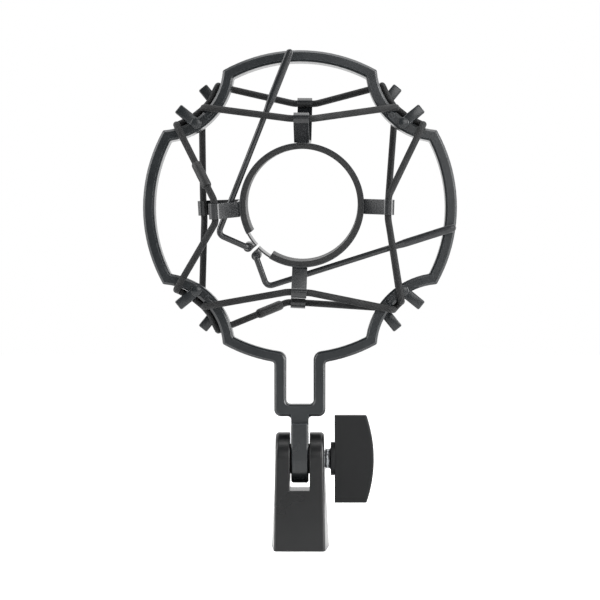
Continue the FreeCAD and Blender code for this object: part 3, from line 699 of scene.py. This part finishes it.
lever = {
    "hinge": 24.1, "spread": 2.1, "tail": 8.3, "plane": -9.5, "heel": 28.6, "lean": 25.35,
    "stand": 23.67, "arm": 69.7, "wire": 1.05, "hold": 3.6, "heelHold": 4.8,
    "padLength": 24.0, "padTaper": 6.0, "padWide": 1.42, "padThick": 0.75,
    "tipLength": 1.6, "tipLeast": 0.02, "tailLength": 0.5, "tailLeast": 0.1, "endThick": 0.35,
    "ring": 0.9, "tailRings": (0.12, 0.4), "tipRings": (0.4, 0.75, 0.93, 1),
}


def leverWidth(total):
    # round wire that is pressed flat and wider towards its tip, with a rounded end
    def width(distance):
        toTip = total - distance
        share = min(max((lever["padLength"] - toTip) / lever["padTaper"], 0), 1)
        share = share * share * (3 - 2 * share)
        across = lever["wire"] + (lever["padWide"] - lever["wire"]) * share
        through = lever["wire"] + (lever["padThick"] - lever["wire"]) * share
        end = min(max(toTip / lever["tipLength"], 0), 1)
        tail = min(distance / lever["tailLength"], 1)
        edge = (math.sqrt(max(1 - (1 - end) ** 2, lever["tipLeast"]))
                * math.sqrt(max(1 - (1 - tail) ** 2, lever["tailLeast"])))
        return across * edge, through * (lever["endThick"] + (1 - lever["endThick"]) * edge)
    return width


def leverWire(name, side):
    # one bent wire: out of its rolled hinge, along the ring's front, round the heel and on to the tip
    lean = math.radians(lever["lean"])
    heelSide = (lever["stand"] - lever["heel"] * math.sin(lean)) / math.cos(lean)
    corners = [
        Vector((lever["hinge"], lever["tail"], side * lever["spread"])),
        Vector((lever["hinge"], lever["plane"], side * lever["spread"])),
        Vector((lever["heel"], lever["plane"], side * heelSide)),
        Vector((lever["heel"] - lever["arm"] * math.cos(lean), lever["plane"],
                side * (heelSide + lever["arm"] * math.sin(lean)))),
    ]
    turn = clipPlace @ swing(places["splitAngle"])
    tail, first, second, tip = [turn @ corner for corner in corners]
    points = splinePoints([(tail, 0, 0), (first, lever["hold"], lever["hold"]),
                           (second, lever["heelHold"], lever["heelHold"]), (tip, 0, 0)], 14)
    # a ring at least every so often, and a few more near both ends, where the width changes
    dense = points[:1]
    for point in points[1:]:
        steps = max(1, int((point - dense[-1]).length / lever["ring"]))
        start = dense[-1]
        dense += [start.lerp(point, (step + 1) / steps) for step in range(steps)]
    ends = dense[:1] + [dense[0].lerp(dense[1], share) for share in lever["tailRings"]] + dense[1:-2]
    ends.append(dense[-3].lerp(dense[-2], 0.999))
    ends += [dense[-2].lerp(dense[-1], share) for share in lever["tipRings"]]
    total = sum((b - a).length for a, b in zip(ends, ends[1:]))
    flat = turn.to_3x3() @ Vector((0, 1, 0))
    # frames are carried back from the tip, so that the flat pad lies across the lever's swing
    width = leverWidth(total)
    piece, length = tube(name, ends[::-1], lambda distance: width(total - distance), 20, flat)
    print(name, "length mm:", round(length, 1))
    return fitted(piece, name + "_wire", name, leverSteel, "lever_steel", name)


leverWire("lever_upper", -1)
leverWire("lever_lower", 1)
print("levers finished")

# elastic cords

cords = {
    "radius": 1.2, "slack": 0.15, "depth": 10.0, "pegProud": 1.0, "pegThick": 3.2,
    "near": 1.0, "far": 11.2, "strap": 5.3, "hookBend": 5.0, "hookSpread": 14.0,
    "hooks": {"front": (30.2, -18.5), "rear": (36.0, 17.0), "bent": (31.0, 24.0)},
    "crossings": {("rear", 45, 1): -1.2, ("rear", 315, 0): 2.0, ("rear", 315, 1): 2.1,
                  ("front", 315, 0): 2.1, ("front", 315, 1): 2.6},
    "firstEar": {"front": "left", "rear": "bottom"}, "splice": {"front": 0.33, "rear": 0.26},
    "sleeveRadius": 1.75, "sleeveLength": 10.0, "sleeveGap": 0.03,
    "edgeHold": 4.6, "pegHold": 3.2, "pegShare": 0.85, "hookHold": 2.6, "pressed": 0.1,
}


def framePoint(angle, offset, y):
    # a cord's middle where it lies on a notch's wall
    out = notchWall(offset, cords["radius"] - cords["pressed"])
    return ringCentre + swing(angle) @ Vector((out, y, 0))


def loopCorners(end):
    # for each ear: its two hook corners, then over and under the frame on both sides of the next diagonal
    sign = -1 if end == "front" else 1
    gap = cords["radius"] + cords["slack"]
    over = sign * (cords["depth"] / 2 + gap)
    under = sign * (cords["depth"] / 2 + cords["pegProud"] - cords["pegThick"] - gap)
    straight = cords["strap"] / 2 + cords["hookBend"] * math.tan(math.radians(cords["hookSpread"]))
    order = list(ears)
    start = order.index(cords["firstEar"][end])
    found = []
    for ear in order[start:] + order[:start]:
        diagonal = round(ears[ear] / 90) * 90 - 45
        offsets = [cords["far"], cords["near"]]
        if (ear in ("left", "right")) != (end == "front"):
            offsets.reverse()
        first, second = [cords["crossings"].get((end, diagonal, number), offset)
                         for number, offset in enumerate(offsets)]
        radial, away = cords["hooks"]["bent" if (ear, end) == ("right", "rear") else end]
        turn = clipPlace @ earTurn(ear)
        leave = [framePoint(diagonal + first, first, y) for y in (over, under)]
        back = [framePoint(diagonal - second, second, y) for y in (under, over)]
        wrap = (leave[1] + back[0]) / 2
        inward = ringCentre - wrap
        inward.y = 0
        wrap += inward.normalized() * ((leave[1] - back[0]).length / 2) ** 2 / (2 * notch["radius"])
        found.append({"hooks": [turn @ Vector((radial, away, shift)) for shift in (straight, -straight)],
                      "middle": turn @ Vector((radial, away, 0)), "leave": leave, "back": back, "wrap": wrap})
    return found


def cordHalf(name, middle, hook, over, under, wrap):
    # from the middle of a hook to the middle of the wrap behind a peg
    hold = min(cords["pegHold"], (wrap - under).length * cords["pegShare"])
    points = splinePoints([(middle, 0, 0), (hook, cords["hookHold"], cords["hookHold"]),
                           (over, cords["edgeHold"], 0), (under, 0, hold), (wrap, 0, 0)])
    piece, length = tube(name, points, lambda distance: (cords["radius"], cords["radius"]), 18)
    piece.name = name
    return piece, length


def stretched(piece, material, node):
    # gives a piece of cord or sleeve its material, fixes its placement into its mesh, and hides the imported
    # node it stands for
    piece.data.materials.clear()
    piece.data.materials.append(material)
    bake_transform(piece)
    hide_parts(node)


def elastic(end):
    # one closed cord, in two parts between each ear and the next, and its sleeve beside the first hook
    corners = loopCorners(end)
    travelled = 0.0
    for index, ear in enumerate(corners):
        after = corners[(index + 1) % 4]
        outward = ("%s_cord_%d" % (end, 2 * index + 1), ear["middle"], ear["hooks"][1],
                   ear["leave"][0], ear["leave"][1])
        inward = ("%s_cord_%d" % (end, 2 * index + 2), after["middle"], after["hooks"][0],
                  ear["back"][1], ear["back"][0])
        for name, middle, hook, over, under in (outward, inward):
            piece, length = cordHalf(name, middle, hook, over, under, ear["wrap"])
            travelled += length
            stretched(piece, braidedCord, "elastic_" + end)
    print("elastic", end, "length mm:", round(travelled, 1))
    sleeve(end, corners[0]["hooks"][1], corners[0]["leave"][0])


def sleeve(end, hook, over):
    # a shrunk tube over the splice, drawn in at both ends
    half, radius, cord = cords["sleeveLength"] / 2, cords["sleeveRadius"], cords["radius"] + cords["sleeveGap"]
    ahead = [(-half, cord), (-half, radius * 0.86), (-half + 0.35, radius * 0.95), (-half + 1.1, radius),
             (-half * 0.4, radius * 0.985)]
    profile = ahead + [(0, radius)] + [(-along, out) for along, out in reversed(ahead)] + ahead[:1]
    piece = turned(profile, 32)
    turn = Vector((1, 0, 0)).rotation_difference((over - hook).normalized()).to_matrix().to_4x4()
    settled(piece, Matrix.Translation(hook.lerp(over, cords["splice"][end])) @ turn)
    smoothed(piece, 40)
    piece.name = "sleeve_%s_shrunk" % end
    stretched(piece, sleevePlastic, "sleeve_" + end)


elastic("front")
elastic("rear")
print("elastics finished")

# studio

studio = {
    "camera": (0.015, -0.87, 0.0884), "target": (0, 0, 0.0884), "lens": 147.0,
    "lamps": [  # name, place, size, watts
        ("left_panel", (-0.85, -0.15, 0.45), (0.5, 0.9), 6.0),
        ("right_panel", (0.9, -0.25, 0.35), (0.5, 0.9), 12.0),
        ("top_panel", (0.1, 0.05, 1.0), (0.9, 0.7), 5.0),
        ("right_card", (0.31, -0.9, 0.4), (0.5, 0.5), 3.0),
        ("front_fill", (-0.25, -1.5, 0.8), (1.2, 0.8), 3.0),
    ],
    "lampTarget": (0, 0, 0.09), "hidden": "front_fill", "floorSize": 6, "paper": (0.84, 0.84, 0.84, 1),
    "diffuseSky": 0.5, "floorGlow": 0.62, "darkFront": 0.06,
    "skyDark": ("Generated", -0.1, -0.75), "floorDark": ("Object", 0.02, -0.12),
}


def aimed(thing, target):
    thing.rotation_euler = (Vector(target) - thing.location).to_track_quat("-Z", "Y").to_euler()


def roomLevel(tree, plain, where, near, far):
    # white to the camera, white to dark from near to far in front for mirrored rays, and plain for the rest
    path = addNode(tree, "LightPath")
    glossy = path.outputs["Is Glossy Ray"]
    seen = maths(tree, "MAXIMUM", path.outputs["Is Camera Ray"], glossy)
    direct = maths(tree, "MAXIMUM", seen, path.outputs["Is Transmission Ray"])
    front = addNode(tree, "SeparateXYZ", {0: addNode(tree, "TexCoord").outputs[where]}).outputs[1]
    dark = spread(tree, front, studio["darkFront"], 1.0, far, near)
    mirrored = spread(tree, glossy, 1.0, dark, 0.0, 1.0)
    return spread(tree, direct, plain, mirrored, 0.0, 1.0)


def placeCamera():
    camera = bpy.data.objects.new("camera", bpy.data.cameras.new("camera"))
    bpy.context.collection.objects.link(camera)
    camera.location = studio["camera"]
    camera.data.lens = studio["lens"]
    camera.data.sensor_width = 36.0
    camera.data.clip_start = 0.01
    aimed(camera, studio["target"])
    bpy.context.scene.camera = camera


def hangLamps():
    for name, place, size, watts in studio["lamps"]:
        light = bpy.data.lights.new(name, "AREA")
        light.shape = "RECTANGLE"
        light.size, light.size_y = size
        light.energy = watts
        lamp = bpy.data.objects.new(name, light)
        bpy.context.collection.objects.link(lamp)
        lamp.location = place
        aimed(lamp, studio["lampTarget"])
        lamp.visible_glossy = name != studio["hidden"]


def lightWorld():
    world = bpy.data.worlds.new("studio")
    world.use_nodes = True
    bpy.context.scene.world = world
    tree = world.node_tree
    tree.nodes.clear()
    level = roomLevel(tree, studio["diffuseSky"], *studio["skyDark"])
    sky = addNode(tree, "Background", {"Color": (1, 1, 1, 1), "Strength": level})
    addNode(tree, "OutputWorld", {"Surface": sky.outputs[0]})


def layFloor():
    bpy.ops.mesh.primitive_plane_add(size=studio["floorSize"], location=(0, 0, 0))
    floor = bpy.context.object
    floor.name = "floor"
    material, tree = newMaterial("pale_paper")
    paper = addNode(tree, "BsdfPrincipled", {"Base Color": studio["paper"], "Roughness": 0.9,
                                             "Specular IOR Level": 0.1})
    level = maths(tree, "MULTIPLY", roomLevel(tree, 0.0, *studio["floorDark"]), studio["floorGlow"])
    glow = addNode(tree, "Emission", {"Color": (1, 1, 1, 1), "Strength": level})
    both = addNode(tree, "AddShader", {0: paper.outputs[0], 1: glow.outputs[0]})
    addNode(tree, "OutputMaterial", {"Surface": both.outputs[0]})
    floor.data.materials.append(material)


deselectAll()
placeCamera()
hangLamps()
lightWorld()
layFloor()
bpy.context.scene.view_settings.view_transform = "Standard"
print("studio ready")
